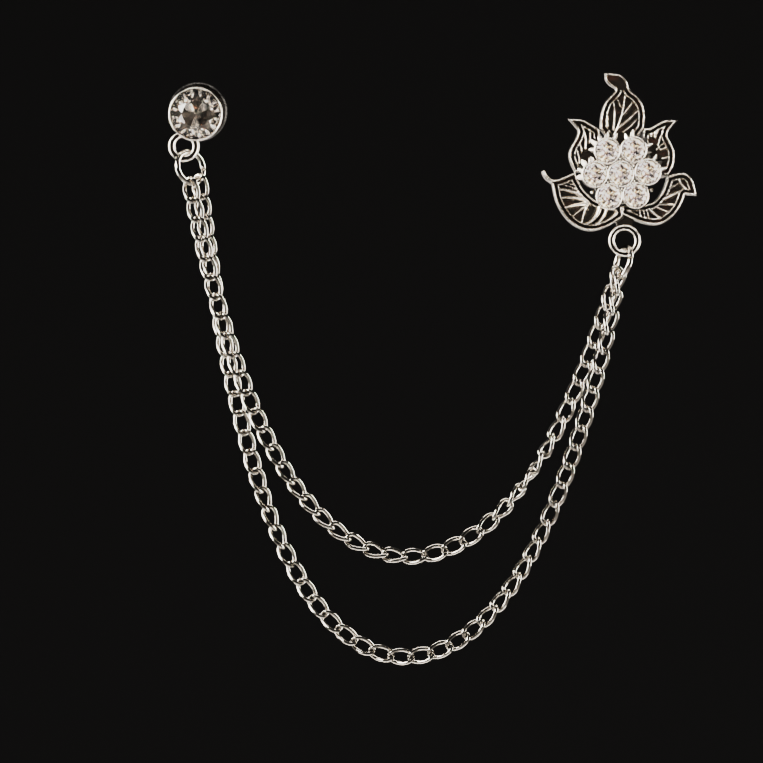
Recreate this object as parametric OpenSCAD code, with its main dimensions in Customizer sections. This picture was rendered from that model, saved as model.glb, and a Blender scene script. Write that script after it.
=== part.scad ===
// Lapel chain: a crystal stud and a leaf brooch, each on its own pin, joined by two hanging curb chains.
// The origin is where the leaf's pin leaves its back. +Z is up, the front faces -Y and the cloth lies at y = 0.

/* [Stud] */
// Stud's centre, to the right of the leaf's pin
stud_x = -78.9; // [-84:0.1:-74]
// Stud's centre, above the leaf's pin
stud_z = 8.8; // [6:0.1:12]
// Outer diameter of the stud's bezel
stud_d = 10; // [10:0.1:11]
// Diameter of the stud's stone
stud_stone_d = 9.2; // [8.8:0.1:9.2]
// Height of the stud's bezel over the cloth
stud_h = 4.4; // [4:0.1:5]
// Centre of the ring under the stud, to the right of the stud's centre
stud_ring_x = -2.1; // [-2.6:0.1:-1.6]
// Centre of the ring under the stud, above the stud's centre
stud_ring_z = -5.9; // [-6.2:0.1:-5.6]
// Inner diameter of the ring under the stud
stud_ring_in = 3.2; // [3.1:0.1:3.6]
// Outer diameter of the ring under the stud
stud_ring_out = 5.8; // [5.4:0.1:6.2]

/* [Leaf] */
// Turn of the leaf on its pin, anticlockwise from the front
leaf_turn = 1.6; // [-5:0.1:5]
// Thickness of the leaf's plate
plate_t = 1.1; // [0.8:0.1:1.4]
// Height of the bright rim over the cloth
rim_h = 2.0; // [1.6:0.1:2.4]
// Width of the bright rim
rim_w = 0.5; // [0.4:0.05:0.6]
// Width of the dark groove inside the rim
groove_w = 0.45; // [0.35:0.05:0.6]
// Width of the raised line inside the groove
line_w = 0.38; // [0.3:0.02:0.5]
// Height of the raised lines and ribs over the cloth
rib_h = 1.65; // [1.4:0.05:1.9]
// Inner diameter of the ring under the leaf
leaf_ring_in = 3.7; // [3.4:0.1:4]
// Outer diameter of the ring under the leaf
leaf_ring_out = 6.0; // [5.6:0.1:6.4]

/* [Cluster] */
// Diameter of the seven stones
stone_d = 4.0; // [3.6:0.1:4.1]
// Distance of the six outer stones from the middle of their ring
cluster_r = 4.9; // [4.8:0.05:5.1]
// Outer diameter of each stone's cup
cup_d = 5.0; // [4.9:0.05:5.1]
// Height of the cups over the cloth
cup_h = 3.5; // [3.2:0.1:4]
// Reach of the pointed teeth around the upper cups
tooth_r = 3.45; // [3.1:0.05:3.6]

/* [Chains] */
// Lowest point of the long chain, below the leaf's pin
long_drop = 90.4; // [86:0.2:94]
// Lowest point of the short chain, below the leaf's pin
short_drop = 71.8; // [68:0.2:76]
// Lowest point of both chains, to the right of the leaf's pin
chain_low_x = -37.8; // [-39:0.2:-37]
// Distance from one link to the next
link_pitch = 3.74; // [3.7:0.01:3.78]
// Width of a link over its wires
link_w = 3.1; // [3:0.05:3.3]
// Diameter of the links' wire
link_wire = 0.6; // [0.5:0.02:0.62]
// Play between the wires of two links
link_play = 0.18; // [0.16:0.01:0.24]

/* [Jump rings] */
// Diameter of the jump rings' wire
ring_wire = 0.9; // [0.8:0.05:0.9]
// Middle diameter of the jump ring under the stud
stud_jump_d = 6.0; // [5.8:0.1:6.2]
// Middle diameter of the jump ring under the leaf
leaf_jump_d = 5.6; // [5.4:0.1:5.8]

/* [Pins and clutches] */
// Diameter of the pins
pin_d = 1.0; // [0.8:0.1:1.2]
// Length of the pins behind the cloth
pin_l = 8.5; // [7:0.5:10]
// Diameter of the clutch discs
clutch_d = 10.9; // [10:0.1:12]
// Thickness of cloth that the clutches leave free
cloth_t = 1.0; // [0.6:0.1:1.6]

/* [Hidden] */
$fn = 48;

// Small play that keeps neighbouring pieces apart
play = 0.06;
// The stud's pin stands a little off the stud's centre, up and to the right
stud_pin = [0.2, 0.7];
// Depth of each chain in front of the cloth, between its hooks: place from the lowest point, depth.
// The short chain is in front at the stud's end and the long one at the leaf's end.
LONG_DEPTHS = [[-70, 0.6], [-48, 0.6], [66, 2.7], [73, 2.7]];
SHORT_DEPTHS = [[-56, 3.1], [-30, 3.1], [45, 0.2], [55, 0]];

// Rings soldered under the stud and the leaf: thickness and height of their middle over the cloth
ring_t = 0.6;
stud_ring_h = 1.2;
leaf_ring_h = 1.0;
// Centre of the ring under the leaf, in the leaf's own drawing
LEAF_RING = [0.74, -12.28];

// How each jump ring hangs: turn about the upright, lean of its top to the right, and where its top
// rests in the ring over it, as an angle from that ring's lowest point to the right
stud_jump_turn = 41;
stud_jump_lean = -18.8;
stud_jump_rest = 18.8;
leaf_jump_turn = -67;
leaf_jump_lean = 14.3;
leaf_jump_rest = 25;
// Where the chains hook on the jump rings: angle round the ring from its right-hand side
LONG_HOOKS = [-67, -80];
SHORT_HOOKS = [-114, -124];
// Play of the end links on the jump rings, more where a ring's wire slopes
LONG_SLACK = [0.3, 0.2];
SHORT_SLACK = [0.16, 0.38];

// Turn of each chain about its own run: place from the lowest point, turn in degrees
LONG_ROLL = [[-99, -4], [-90, 0], [-48, 0], [-42, 36], [-34, 36], [-27, 0], [10, 0], [19, 36],
    [36, 36], [45, 0], [60, 0], [68, -5], [76, -30], [83.5, -66]];
SHORT_ROLL = [[-83, -5], [-74, 0], [-40, 10], [-26, 38], [-1, 38], [6, 0], [13, 0], [45, -180],
    [52, -180], [60, -188], [66, -214], [69, -246]];
// Half the turn between the two ends of a link
link_twist = 45;
// Sections round a link and sides of its wire
link_n = 12;
wire_n = 6;
// How square a link's oval is: 1 is an ellipse and less is squarer
link_square = 0.8;

// Outlines of the leaf's five lobes in the leaf's own drawing: right, up, 1 at a corner
TOP_LOBE = [
    [-3.9, 8.4, 1], [-3.74, 10.6, 0], [-3.4, 12.1, 0], [-2.78, 13.6, 0], [-1.75, 14.7, 0], [-1.05, 15.7, 0],
    [-2.1, 16.5, 0], [-2.85, 17.5, 0], [-2.95, 18.75, 1], [-1.4, 18.65, 0], [0.1, 18.35, 0],
    [1.2, 17.2, 0], [1.65, 15.7, 0], [3.1, 14.4, 0], [4.1, 12.9, 0], [4.5, 11.0, 0], [4.4, 8.6, 1],
    [0.3, 3, 1]];
LEFT_LOBE = [
    [-3.9, 8.3, 1], [-5.6, 9.35, 0], [-7.1, 10.1, 0], [-9.75, 10.3, 1], [-8.55, 8.9, 0], [-7.95, 8.0, 0],
    [-8.35, 6.7, 0], [-9.3, 5.0, 0], [-9.65, 3.5, 0], [-9.3, 2.0, 0], [-8.55, 0.4, 1], [-3, 0, 1]];
RIGHT_LOBE = [
    [3, 0, 1], [8.8, -0.2, 1], [9.7, 1.3, 0], [10.0, 2.85, 0], [9.9, 4.5, 0], [9.1, 6.2, 0], [8.7, 7.35, 0],
    [9.25, 8.45, 0], [10.55, 10.0, 1], [8.4, 10.05, 0], [7.0, 9.5, 0], [5.4, 8.6, 0], [4.2, 8.5, 1]];
LEFT_FAN = [
    [-8.3, 0.5, 1], [-10.4, -0.45, 0], [-12.3, -1.0, 0], [-13.4, -0.35, 0], [-14.1, 0.75, 0], [-14.65, 0.4, 0],
    [-14.0, -0.9, 0], [-12.75, -1.85, 1], [-12.55, -3.0, 0], [-12.1, -4.9, 0], [-11.0, -7.05, 0],
    [-9.75, -8.65, 0], [-8.0, -9.9, 0], [-6.1, -10.5, 0], [-4.0, -10.3, 0], [-1.8, -9.4, 0],
    [0.5, -7.9, 1], [0.1, -5.6, 1], [-3.4, -5.2, 1], [-4.9, -4.6, 0], [-6.7, -2.9, 0], [-8.1, -0.6, 1]];
RIGHT_FAN = [
    [8.5, -0.4, 1], [10.2, 0.15, 0], [11.7, 0.25, 0], [12.9, -0.4, 0], [13.65, -1.9, 0], [14.1, -3.95, 1],
    [13.2, -3.9, 0], [11.95, -3.8, 1], [11.5, -5.1, 0], [10.4, -7.05, 0], [8.7, -8.65, 0], [6.8, -9.4, 0],
    [4.2, -9.15, 0], [2.05, -8.3, 0], [0.1, -7.4, 1], [0.3, -5.6, 1], [4.6, -5.6, 1], [6.3, -4.9, 0],
    [7.7, -3.0, 0], [8.4, -1.2, 1]];

// Ribs inside the lobes: start and end, right and up, then bow to the left of the way and width
TOP_RIBS = [
    [0.8, 14.8, -1.25, 7.2, 0.4, 0.6], [3.2, 11.9, -0.5, 8.6, 0.15, 0.5], [3.0, 10.2, 0.5, 7.8, 0.1, 0.4],
    [2.1, 13.3, 0.4, 11.1, 0.1, 0.4], [-1.3, 13.2, -1.4, 8.3, 0.2, 0.5], [-0.6, 13.9, -0.1, 12.6, 0, 0.3],
    [-2.5, 11.6, -2.4, 8.9, 0, 0.4]];
LEFT_RIBS = [
    [-7.4, 9.4, -6.5, 4.8, 0.35, 0.6], [-5.8, 9.1, -5.7, 5.9, 0.1, 0.5], [-8.4, 4.8, -7.6, 2.1, 0.2, 0.5],
    [-8.2, 6.4, -7.2, 4.2, 0.2, 0.4]];
RIGHT_RIBS = [
    [7.8, 9.4, 6.3, 6.9, -0.2, 0.6], [6.2, 8.8, 5.6, 7.0, -0.1, 0.4], [8.8, 5.4, 7.4, 4.6, 0.1, 0.5],
    [8.9, 3.4, 7.7, 2.9, 0.1, 0.5], [8.7, 1.5, 7.8, 0.9, 0.1, 0.5]];
LEFT_FAN_RIBS = [
    [-11, -1.9, -6, -4.1, 0.3, 0.26], [-10, -1.6, -5.7, -3.9, 0.3, 0.26], [-9, -1.1, -5.6, -3.6, 0.3, 0.26],
    [-11.5, -2.8, -6, -4.6, 0.4, 0.8], [-11, -4.4, -6, -5, 0.3, 0.7], [-10.3, -6.2, -6.1, -5.4, 0.1, 0.7],
    [-8.9, -7.9, -6.1, -5.7, 0.1, 0.5], [-7.2, -9.1, -6.4, -6.1, 0.1, 0.5],
    [-6.4, -9.3, -3.8, -5.0, -0.8, 1.0], [-4.9, -9.5, -2.5, -5.7, -0.6, 0.8],
    [-4.6, -9.6, -0.4, -6.9, -0.4, 0.9]];
RIGHT_FAN_RIBS = [
    [12.6, -3.2, 10.9, -1.2, 0.2, 0.6], [11.4, -3.0, 6.8, -5.2, -0.1, 0.9], [10.6, -1.8, 7.1, -4.4, -0.2, 0.4],
    [9.3, -1.5, 6.8, -4.1, -0.2, 0.35], [8.3, -1.9, 6.3, -4.9, -0.2, 0.3], [9.8, -5.6, 6.3, -5.6, 0, 0.6],
    [9.0, -7.0, 5.8, -5.6, 0.1, 0.5], [7.6, -8.3, 4.9, -5.8, 0.2, 0.8], [5.6, -9.0, 4.6, -5.6, 0.1, 0.3],
    [4.9, -9.0, 4.0, -5.6, 0.1, 0.3], [4.1, -9.0, 3.3, -5.6, 0.1, 0.3], [3.2, -8.9, 0.9, -6.4, 0.2, 0.8]];

// Outer stones of the cluster: first stone's direction, and the ring's middle beside the centre stone
cluster_turn = 2.5;
cluster_mid = [0.07, 0.15];
// Teeth stand out round the upper cups only: cup's number, first and last direction
SKIRTS = [[0, -25, 125], [1, -20, 130], [2, 45, 190], [3, 60, 205]];
tooth_step = 24;
skirt_h = 2.3;

// Shape of a cut stone, as parts of its radius
table_r = 0.56;
crown_h = 0.36;
girdle_h = 0.06;
pavilion_h = 0.62;
culet_r = 0.06;

// Places on the stud, the leaf and the jump rings
leaf_seat = stone_z(cup_h, stone_d);
stud_seat = stone_z(stud_h, stud_stone_d);
stud_ring_c = [stud_x + stud_ring_x, -stud_ring_h, stud_z + stud_ring_z];
leaf_ring_c = let (c = cos(leaf_turn), s = sin(leaf_turn))
    [LEAF_RING[0] * c - LEAF_RING[1] * s, -leaf_ring_h, LEAF_RING[0] * s + LEAF_RING[1] * c];
stud_jump_c = hung_in(stud_ring_c, stud_ring_in, stud_jump_rest, stud_jump_d, stud_jump_lean);
leaf_jump_c = hung_in(leaf_ring_c, leaf_ring_in, leaf_jump_rest, leaf_jump_d, leaf_jump_lean);

LONG = strand(LONG_HOOKS, long_drop, LONG_DEPTHS);
SHORT = strand(SHORT_HOOKS, short_drop, SHORT_DEPTHS);

// Height of a stone's girdle under its cup's edge
function stone_z(edge, d) = edge - 0.12 * d / 2 - 0.2;

// Centre of a jump ring of middle diameter d whose top rests in a soldered ring
function hung_in(c, inner, rest, d, lean) =
    let (reach = inner / 2 - ring_wire / 2 - 1.5 * play)
    c + reach * [sin(rest), 0, -cos(rest)] - d / 2 * [sin(lean), 0, cos(lean)];

// Point on a jump ring's middle line, at an angle from its right-hand side
function on_jump(c, d, turn, lean, angle) =
    let (across = [cos(turn) * cos(lean), sin(turn), -cos(turn) * sin(lean)], up = [sin(lean), 0, cos(lean)])
    c + d / 2 * (cos(angle) * across + sin(angle) * up);

function asinh(x) = ln(x + sqrt(x * x + 1));
function acosh(x) = ln(x + sqrt(x * x - 1));
function unit(v) = v / norm(v);

// Catenary's own length a, for a hook that lies span beside and h over the lowest point
function catenary(span, h, lo = 1, hi = 200, tries = 40) =
    let (a = (lo + hi) / 2)
    tries == 0 ? a : a * acosh(1 + h / a) < span ? catenary(span, h, a, hi, tries - 1)
                                                 : catenary(span, h, lo, a, tries - 1);

// Half of a strand, from its lowest point to a hook: its catenary's own length, its length and its drop
function half_strand(hook, drop) =
    let (h = hook[2] + drop, a = catenary(abs(hook[0] - chain_low_x), h))
    [a, sqrt(h * h + 2 * a * h), drop];

// A strand: its halves to the stud's and the leaf's jump ring, and its depths from hook to hook
function strand(hooks, drop, depths) =
    let (left = on_jump(stud_jump_c, stud_jump_d, stud_jump_turn, stud_jump_lean, hooks[0]),
         right = on_jump(leaf_jump_c, leaf_jump_d, leaf_jump_turn, leaf_jump_lean, hooks[1]),
         l = half_strand(left, drop), r = half_strand(right, drop))
    [l, r, concat([[-l[1], -left[1]]], depths, [[r[1], -right[1]]])];

// Point of a strand at length s from its lowest point
function along(k, s) =
    let (half = k[s < 0 ? 0 : 1], a = half[0])
    [chain_low_x + a * asinh(s / a), -lookup(s, k[2]), sqrt(a * a + s * s) - a - half[2]];

// Half the length of a link's middle line, and how far the end links' middles lie from the hooks
function link_half(step) = (step + link_wire + link_play) / 2;
hook_reach = link_half(link_pitch) - (ring_wire + link_wire) / 2;

function rounded(x) = sign(x) * pow(abs(x), link_square);

// Middle point and section plane of a link's wire at an angle round the oval
function oval(c, t, w, d, half, roll, angle) =
    let (u = rounded(cos(angle)), v = (link_w - link_wire) / 2 * rounded(sin(angle)),
         turn = roll + link_twist * u)
    [c + half * u * t + v * (cos(turn) * w + sin(turn) * d), cos(turn) * d - sin(turn) * w];

function link_points(k, s, step, roll) =
    let (c = along(k, s), t = unit(along(k, s + step / 2) - along(k, s - step / 2)),
         w = unit(cross(t, [0, 1, 0])), d = cross(w, t), half = link_half(step))
    [for (i = [0:link_n - 1])
        let (here = oval(c, t, w, d, half, roll, i * 360 / link_n),
             ahead = oval(c, t, w, d, half, roll, (i + 1) * 360 / link_n)[0],
             behind = oval(c, t, w, d, half, roll, (i - 1) * 360 / link_n)[0],
             along_wire = unit(ahead - behind),
             side = unit(cross(here[1], along_wire)), face = cross(along_wire, side))
        for (j = [0:wire_n - 1])
            here[0] + link_wire / 2 * (cos(j * 360 / wire_n) * side + sin(j * 360 / wire_n) * face)];

module front() {
    rotate([90, 0, 0]) children();
}

module chain(k, slack, rolls) {
    run = k[0][1] + k[1][1] - 2 * hook_reach + slack[0] + slack[1];
    count = round(run / link_pitch);
    step = run / count;
    per_link = link_n * wire_n;
    points = [for (n = [0:count]) let (s = n * step + hook_reach - slack[0] - k[0][1])
        each link_points(k, s, step, lookup(s, rolls))];
    faces = [for (n = [0:count]) for (i = [0:link_n - 1]) for (j = [0:wire_n - 1])
        let (b = n * per_link, i2 = (i + 1) % link_n, j2 = (j + 1) % wire_n)
        each [[b + i * wire_n + j, b + i2 * wire_n + j, b + i2 * wire_n + j2],
              [b + i * wire_n + j, b + i2 * wire_n + j2, b + i * wire_n + j2]]];
    color("silver") polyhedron(points, faces, convexity = 10);
}

module jump_ring(c, d, turn, lean, opening) {
    slit = 4;
    color("silver") translate(c) rotate([0, lean, 0]) rotate([0, 0, turn]) rotate([90, 0, 0])
        rotate([0, 0, opening + slit / 2]) rotate_extrude(angle = 360 - slit) translate([d / 2, 0])
            circle(d = ring_wire);
}

// Flat cast ring with two round ridges and a shallow groove between them
module soldered_ring(inner, outer) {
    web_share = 0.62;
    rotate_extrude() {
        translate([inner / 2 + ring_t / 2, 0]) circle(d = ring_t);
        translate([outer / 2 - ring_t / 2, 0]) circle(d = ring_t);
        translate([(inner + outer) / 4, 0])
            square([(outer - inner) / 2 - ring_t, web_share * ring_t], center = true);
    }
}

// Pin that goes back through the cloth, with a pointed end
module pin() {
    point_l = 1.2;
    mirror([0, 0, 1]) {
        translate([0, 0, -0.5]) cylinder(d = pin_d, h = pin_l - point_l + 0.5);
        translate([0, 0, pin_l - point_l]) cylinder(d1 = pin_d, d2 = 0.2, h = point_l);
    }
}

module clutch() {
    bore = pin_d / 2 + play;
    r = clutch_d / 2;
    barrel = 3.0;
    color("gainsboro") translate([0, 0, -cloth_t]) mirror([0, 0, 1]) rotate_extrude()
        polygon([[bore, 0], [r - 0.3, 0], [r, 0.25], [r, 0.55], [r - 0.3, 0.8], [barrel + 0.4, 0.95],
            [barrel, 1.5], [barrel, 3.3], [barrel - 0.5, 3.8], [bore, 3.8]]);
}

// Cut stone with an eight-sided table, its girdle at z = 0
module gem(d) {
    r = d / 2;
    color("whitesmoke") hull() {
        translate([0, 0, crown_h * r]) cylinder(r = table_r * r, h = 0.01, $fn = 8);
        rotate([0, 0, 11.25]) translate([0, 0, -girdle_h * r]) cylinder(r = r, h = 2 * girdle_h * r, $fn = 16);
        translate([0, 0, -pavilion_h * r]) cylinder(r = culet_r * r, h = 0.01, $fn = 8);
    }
}

// Cup for a stone: foot, flared wall, lip over the girdle and a cone under the stone
module cup(d, outer, edge, foot, girdle) {
    r = d / 2 + play;
    rotate_extrude() polygon([[0, foot], [outer / 2 - 0.9, foot], [outer / 2 - 0.3, (foot + girdle) / 2],
        [outer / 2, girdle - 0.2], [outer / 2, edge - 0.2], [outer / 2 - 0.15, edge], [r, edge],
        [r - 0.1, edge - 0.15], [r, edge - 0.3], [r, girdle - girdle_h * d / 2 - 2 * play],
        [culet_r * d / 2 + play, girdle - pavilion_h * d / 2 - play], [0, girdle - pavilion_h * d / 2 - play]]);
}

module stud() {
    color("silver") front() translate([stud_x, stud_z]) {
        cup(stud_stone_d, stud_d, stud_h, 0, stud_seat);
        translate([stud_ring_x, stud_ring_z, stud_ring_h]) soldered_ring(stud_ring_in, stud_ring_out);
        translate(stud_pin) pin();
    }
}

module stud_stone() {
    front() translate([stud_x, stud_z, stud_seat]) gem(stud_stone_d);
}

// Closed outline through a lobe's points by smooth curves that break at its corners
function lobe(t, steps = 4) =
    let (n = len(t), p = [for (row = t) [row[0], row[1]]])
    [for (i = [0:n - 1])
        let (b = p[i], c = p[(i + 1) % n],
             a = t[i][2] == 1 ? 2 * b - c : p[(i + n - 1) % n],
             d = t[(i + 1) % n][2] == 1 ? 2 * c - b : p[(i + 2) % n])
        for (k = [0:steps - 1])
            let (s = k / steps)
            0.5 * (2 * b + (c - a) * s + (2 * a - 5 * b + 4 * c - d) * pow(s, 2)
                   + (3 * b - a - 3 * c + d) * pow(s, 3))];

// Curved rib that is widest at its end
module rib(row) {
    steps = 5;
    from = [row[0], row[1]];
    to = [row[2], row[3]];
    left = unit([from[1] - to[1], to[0] - from[0]]);
    middle = [for (k = [0:steps]) let (s = k / steps) from + s * (to - from) + 4 * row[4] * s * (1 - s) * left];
    half = [for (k = [0:steps]) row[5] / 2 * (0.45 + 0.55 * k / steps)];
    polygon(concat([for (k = [0:steps]) middle[k] + half[k] * left],
                   [for (k = [steps:-1:0]) middle[k] - half[k] * left]));
}

// The lobe's rim, or the raised line inside its groove
module band(t, inset, w) {
    difference() {
        offset(delta = -inset) polygon(lobe(t));
        offset(delta = -inset - w) polygon(lobe(t));
    }
}

module panel(t, ribs) {
    band(t, rim_w + groove_w, line_w);
    intersection() {
        offset(delta = -rim_w - groove_w) polygon(lobe(t));
        union() for (row = ribs) rib(row);
    }
}

function cluster_at(n) = cluster_mid + cluster_r * [cos(cluster_turn + 60 * n), sin(cluster_turn + 60 * n)];

// Pointed teeth round a cup, between two directions
module skirt(from, to) {
    root = cup_d / 2 + 0.1;
    teeth = round((to - from) / tooth_step);
    step = (to - from) / teeth;
    polygon(concat([[0, 0]], [for (k = [0:teeth - 1]) each
        [root * [cos(from + k * step), sin(from + k * step)],
         tooth_r * [cos(from + (k + 0.5) * step), sin(from + (k + 0.5) * step)]]],
        [root * [cos(to), sin(to)]]));
}

module skirts() {
    difference() {
        for (row = SKIRTS) translate(cluster_at(row[0])) skirt(row[1], row[2]);
        for (n = [0:5]) translate(cluster_at(n)) circle(d = cup_d - 0.4);
        circle(d = cup_d - 0.4);
    }
}

module leaf_plate() {
    for (t = [TOP_LOBE, LEFT_LOBE, RIGHT_LOBE, LEFT_FAN, RIGHT_FAN]) polygon(lobe(t));
    translate([LEAF_RING[0], LEAF_RING[1] + 3.6]) circle(r = 1.6);
    for (n = [0:5]) translate(cluster_at(n)) circle(d = cup_d);
    circle(r = cluster_r);
}

module leaf_relief() {
    difference() {
        union() {
            panel(TOP_LOBE, TOP_RIBS);
            panel(LEFT_LOBE, LEFT_RIBS);
            panel(RIGHT_LOBE, RIGHT_RIBS);
            panel(LEFT_FAN, LEFT_FAN_RIBS);
            panel(RIGHT_FAN, RIGHT_FAN_RIBS);
        }
        circle(r = cluster_r);
    }
}

module leaf_rims() {
    difference() {
        for (t = [TOP_LOBE, LEFT_LOBE, RIGHT_LOBE, LEFT_FAN, RIGHT_FAN]) band(t, 0, rim_w);
        circle(r = cluster_r + 1);
    }
}

module leaf() {
    merge = 0.02;
    color("silver") front() rotate([0, 0, leaf_turn]) {
        linear_extrude(plate_t) offset(r = merge, $fn = 12) leaf_plate();
        linear_extrude(rib_h) offset(r = merge, $fn = 12) leaf_relief();
        linear_extrude(rim_h) offset(r = merge, $fn = 12) leaf_rims();
        linear_extrude(skirt_h) offset(r = merge, $fn = 12) skirts();
        for (n = [0:5]) translate(cluster_at(n)) cup(stone_d, cup_d, cup_h, 0.5, leaf_seat);
        cup(stone_d, cup_d, cup_h, 0.5, leaf_seat);
        translate([LEAF_RING[0], LEAF_RING[1], leaf_ring_h]) soldered_ring(leaf_ring_in, leaf_ring_out);
        pin();
    }
}

// Stone 7 is the one in the middle
module leaf_stone(n) {
    front() rotate([0, 0, leaf_turn]) translate(n == 7 ? [0, 0] : cluster_at(n - 1))
        translate([0, 0, leaf_seat]) gem(stone_d);
}

leaf();
front() clutch();  // leaf_clutch
for (n = [1:7]) leaf_stone(n);
stud();
stud_stone();
front() translate([stud_x + stud_pin[0], stud_z + stud_pin[1]]) clutch();  // stud_clutch
jump_ring(stud_jump_c, stud_jump_d, stud_jump_turn, stud_jump_lean, -20);  // stud_jump_ring
jump_ring(leaf_jump_c, leaf_jump_d, leaf_jump_turn, leaf_jump_lean, 20);  // leaf_jump_ring
chain(LONG, LONG_SLACK, LONG_ROLL);  // long_chain
chain(SHORT, SHORT_SLACK, SHORT_ROLL);  // short_chain
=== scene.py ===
"""Lapel chain: a crystal stud and a leaf brooch joined by two curb chains, in plated white metal."""

import math

import bmesh
import bpy
import numpy as np
from mathutils import Matrix, Vector


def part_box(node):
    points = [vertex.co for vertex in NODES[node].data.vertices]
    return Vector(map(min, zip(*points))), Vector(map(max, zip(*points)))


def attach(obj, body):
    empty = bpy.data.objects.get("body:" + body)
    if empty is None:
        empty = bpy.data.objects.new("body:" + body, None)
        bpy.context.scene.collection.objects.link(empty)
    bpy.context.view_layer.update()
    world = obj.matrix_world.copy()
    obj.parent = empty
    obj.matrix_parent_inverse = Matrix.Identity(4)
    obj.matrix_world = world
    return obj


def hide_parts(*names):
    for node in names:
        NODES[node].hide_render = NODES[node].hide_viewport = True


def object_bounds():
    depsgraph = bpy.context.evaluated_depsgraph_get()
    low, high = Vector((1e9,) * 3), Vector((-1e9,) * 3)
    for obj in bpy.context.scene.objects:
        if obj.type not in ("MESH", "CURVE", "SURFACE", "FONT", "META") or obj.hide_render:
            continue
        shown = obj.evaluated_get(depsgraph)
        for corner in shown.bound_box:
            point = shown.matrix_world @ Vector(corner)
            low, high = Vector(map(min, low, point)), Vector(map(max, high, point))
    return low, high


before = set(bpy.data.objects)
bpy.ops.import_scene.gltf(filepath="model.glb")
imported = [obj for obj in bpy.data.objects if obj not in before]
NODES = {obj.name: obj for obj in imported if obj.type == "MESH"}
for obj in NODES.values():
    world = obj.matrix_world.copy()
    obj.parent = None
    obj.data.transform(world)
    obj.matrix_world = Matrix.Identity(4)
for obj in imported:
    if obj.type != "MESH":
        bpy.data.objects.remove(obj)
cad_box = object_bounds()

MM = 0.001
BODY = "root"
LEAF_STONES = [f"leaf_stone_{n}" for n in range(1, 8)]
CHAINS = ["long_chain", "short_chain"]
CLUTCHES = ["leaf_clutch", "stud_clutch"]
JUMP_RINGS = ["stud_jump_ring", "leaf_jump_ring"]

# The photograph: its middle on the object, the width that it takes in there, and its tilt
VIEW_X, VIEW_Y, VIEW_Z = -43.21 * MM, -2 * MM, -39.61 * MM
VIEW_WIDTH = 141.2 * MM
CAMERA_TILT = 0.028
LENS, SENSOR = 250, 36

# The studio in metres: a pale floor that curves up into a dark round wall, seen from inside
FLOOR_DROP, PALE_UP_TO = 0.6, 0.35
STUDIO_R, STUDIO_BEND, STUDIO_H = 2.2, 0.9, 2.8
FLOOR_COLOUR, WALL_COLOUR = (0.62, 0.61, 0.6), (0.05, 0.05, 0.052)
LIGHT_COLOUR = (1, 0.94, 0.87)
# Small lights round the camera that make the stones sparkle
GLINTS = 12

# Colours of the plating, and of the painted shade, mixed with dark and rusty tarnish, in its hollows
SILVER = (0.95, 0.89, 0.79)
SHADE_AND_TARNISH, RUSTY = (0.008, 0.007, 0.006), (0.024, 0.012, 0.009)

# How much thicker the wire of the links and of the jump rings is than in the CAD, which takes up their play
WIRE_SWELL, RING_SWELL = 0.05 * MM, 0.07 * MM

# How much wider the cut stones are than the CAD ones
LEAF_STONE_SWELL, STUD_STONE_SWELL = 1.04, 1.015
# Their depth under the girdle and the reach of their kite facets, as shares of their radius
LEAF_PAVILION, STUD_PAVILION = 0.87, 0.7
LEAF_KITES, STUD_KITES = 0.35, 0.44
# Their crown's share of the CAD stone's depth
CROWN_SHARE = 0.37
# The stud stone's kites that get its slivers' bright foil in place of the painted dark one
BRIGHT_KITES = (1, 3, 6)
# Play round the stones and under them, in millimetres
LEAF_STONE_PLAY, STUD_STONE_PLAY, CONE_PLAY = 0.12, 0.03, 0.06

# The leaf's sizes in millimetres. Its drawing's axes are right and up from its pin, and heights are forward.
LEAF_TURN = math.radians(1.6)
PLATE_H, FIELD_H, EDGE_H, RIM_H, LINE_H, RIB_H = 1.1, 0.6, 1.2, 2.0, 1.65, 1.75
RIM_W, GROOVE_W, LINE_W = 0.5, 0.4, 0.44
UNEVEN_H, BACK_EDGE_H = 0.04, 0.15
CUP_D, CUP_H, CUP_FOOT, SEAT_H, STONE_D = 5.0, 3.5, 0.6, 3.06, 4.0
CLUSTER_R, CLUSTER_TURN, CLUSTER_MID = 4.9, 2.5, (0.07, 0.15)
TOOTH_REACH, TOOTH_STEP = 3.6, 27
LEAF_RING, LEAF_RING_H, RING_WIRE = (0.74, -12.28), 1.0, 0.44
LEAF_RING_IN, LEAF_RING_OUT = 3.7, 6.0
NECK_UP, NECK_R = 3.6, 1.6
PIN_D, PIN_L, PIN_POINT_L = 1.0, 8.5, 1.2
# Beads between the cups and outside them: distance from the cluster's middle, radius and height
INNER_BEAD, OUTER_BEAD = (2.83, 0.36, 2.9), (6.3, 0.42, 1.5)
# The relief's grid: its step, and how far it spans to the right and up
GRID, GRID_RIGHT, GRID_UP = 0.095, (-15, 14.6), (-11, 19.2)

# The stud's sizes in millimetres: its middle in the part, its bezel, stone, soldered ring and pin
STUD_AT = (-78.9, 8.8)
STUD_D, STUD_H, STUD_SEAT_H, STUD_STONE_D = 10.0, 4.4, 3.65, 9.2
STUD_RING, STUD_RING_H = (-2.1, -5.9), 1.2
STUD_RING_IN, STUD_RING_OUT = 3.2, 5.8
STUD_PIN = (0.2, 0.7)

# The top lobe's hook starts this far up, and is plain inside its rim
HOOK_FROM = 15.6

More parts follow.
